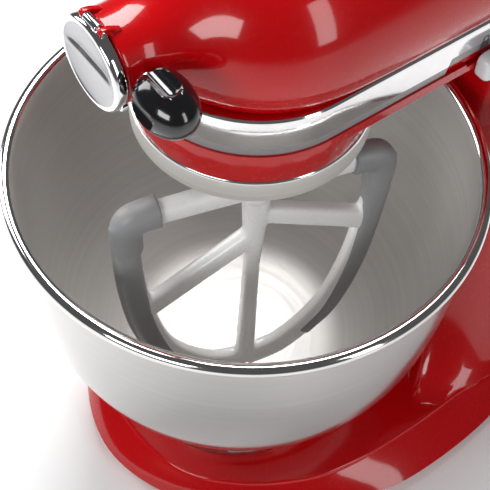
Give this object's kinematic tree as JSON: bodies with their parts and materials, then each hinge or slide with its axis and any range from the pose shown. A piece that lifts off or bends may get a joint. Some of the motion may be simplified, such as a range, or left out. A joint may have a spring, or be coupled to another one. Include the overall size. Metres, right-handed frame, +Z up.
{
  "type": "stand mixer",
  "caption": "Tilt-head stand mixer with enamelled casings, a steel bowl locked on its foot by a twist, a planetary flat beater and a front attachment hub.",
  "frame": {"origin": "centre of the standing footprint box, on the floor under the rubber feet", "axes": "+Z up, -Y towards the attachment hub at the front, +X towards the head lock lever; X = 0 is the middle plane"},
  "size_m": [0.221, 0.3578, 0.353],
  "materials": {
    "red_enamel": "glossy powder-coated enamel over die-cast metal",
    "rubber": "matt moulded rubber",
    "satin_steel": "satin pressed steel",
    "zinc_steel": "zinc-plated steel",
    "machined_steel": "machined steel",
    "lamination_steel": "varnished lamination stack",
    "bowl_steel": "polished stainless steel",
    "band_steel": "brushed metal with polished edges",
    "chrome": "mirror chrome",
    "cast_aluminium": "bare die casting",
    "bronze": "sintered or cast bronze",
    "copper": "bare and enamelled copper",
    "black_plastic": "glossy black moulding",
    "carbon": "pressed carbon",
    "board": "circuit board laminate",
    "white_coating": "baked white coating over die-cast metal",
    "grey_silicone": "satin grey silicone",
    "lever_silver": "silver-painted lever handle"
  },
  "bodies": {
    "base": {"base_casting": "red_enamel", "rubber_feet": "rubber", "bowl_clamp_plate": "satin_steel", "clamp_plate_screws": "zinc_steel", "hinge_pin": "zinc_steel", "head_stop_screw": "zinc_steel", "lock_strike_plate": "zinc_steel"},
    "bowl": {"bowl": "bowl_steel", "bowl_foot": "bowl_steel"},
    "head": {"gearcase": "red_enamel", "upper_housing": "red_enamel", "rear_cover": "red_enamel", "rear_cover_screw": "chrome", "housing_screws": "zinc_steel", "trim_band": "band_steel", "cord_bushing": "black_plastic", "hub_cap_pin": "zinc_steel", "hub_bush": "bronze", "ring_gear": "machined_steel", "centre_bush": "bronze", "worm_gear_pin": "machined_steel", "motor_bearings": "machined_steel", "bearing_brackets": "cast_aluminium", "motor_stator": "lamination_steel", "field_windings": "copper", "brush_holders": "bronze", "carbon_brushes": "carbon", "brush_caps": "black_plastic", "speed_control_board": "board"},
    "planetary": {"planetary_carrier": "cast_aluminium", "drip_ring": "band_steel", "agitator_bush": "bronze", "centre_shaft": "machined_steel", "centre_gear": "machined_steel", "centre_bevel_gear": "machined_steel"},
    "agitator": {"agitator_shaft": "machined_steel", "agitator_pinion": "machined_steel", "bayonet_pin": "machined_steel", "beater_spring_washer": "zinc_steel", "beater_frame": "white_coating", "flex_edges": "grey_silicone"},
    "hub_drive": {"hub_drive_gear": "machined_steel"},
    "worm_wheel": {"drive_pinion": "machined_steel", "worm_gear": "bronze"},
    "armature": {"armature_shaft": "machined_steel", "armature_core": "lamination_steel", "commutator": "copper", "cooling_fan": "black_plastic"},
    "hub_cap": {"hub_cap": "chrome"},
    "attachment_knob": {"attachment_knob": "black_plastic", "knob_stud": "chrome"},
    "lock_lever": {"lock_lever": "lever_silver", "lock_slide_bar": "zinc_steel"},
    "speed_lever": {"speed_lever": "lever_silver", "speed_link": "zinc_steel"}
  },
  "joints": [
    {"name": "head_tilt", "type": "hinge", "parent": "base", "child": "head", "pos_m": [0, 0.121, 0.219], "axis": [-1, 0, 0], "range_deg": [0, 35]},
    {"name": "bowl_twist", "type": "hinge", "parent": "base", "child": "bowl", "pos_m": [0, -0.069, 0.03], "axis": [0, 0, 1], "range_deg": [-30, 0]},
    {"name": "planetary_spin", "type": "hinge", "parent": "head", "child": "planetary", "pos_m": [0, -0.069, 0.25], "axis": [0, 0, 1], "continuous": true},
    {"name": "agitator_spin", "type": "hinge", "parent": "planetary", "child": "agitator", "pos_m": [0.02412, -0.08221, 0.24], "axis": [0, 0, 1], "continuous": true},
    {"name": "hub_drive_spin", "type": "hinge", "parent": "head", "child": "hub_drive", "pos_m": [0, -0.069, 0.3046], "axis": [0, 1, 0], "continuous": true},
    {"name": "worm_wheel_spin", "type": "hinge", "parent": "head", "child": "worm_wheel", "pos_m": [-0.021, -0.04258, 0.29], "axis": [0, 0, 1], "continuous": true},
    {"name": "armature_spin", "type": "hinge", "parent": "head", "child": "armature", "pos_m": [0, 0.085, 0.306], "axis": [0, 1, 0], "continuous": true},
    {"name": "hub_cap_flip", "type": "hinge", "parent": "head", "child": "hub_cap", "pos_m": [0, -0.1404, 0.3232], "axis": [-1, 0, 0], "range_deg": [0, 100]},
    {"name": "knob_turn", "type": "hinge", "parent": "head", "child": "attachment_knob", "pos_m": [0, -0.132, 0.306], "axis": [1, 0, 0], "range_deg": [0, 720]},
    {"name": "lock_slide", "type": "slide", "parent": "head", "child": "lock_lever", "axis": [0, -1, 0], "range_m": [0, 0.01]},
    {"name": "speed_slide", "type": "slide", "parent": "head", "child": "speed_lever", "axis": [0, 1, 0], "range_m": [0, 0.04]}
  ],
  "couplings": [
    {"joint": "agitator_spin", "follows": "planetary_spin", "ratio": -4.1429},
    {"joint": "hub_drive_spin", "follows": "planetary_spin", "ratio": -1.6667},
    {"joint": "worm_wheel_spin", "follows": "planetary_spin", "ratio": -2.8571},
    {"joint": "armature_spin", "follows": "planetary_spin", "ratio": 68.571}
  ]
}
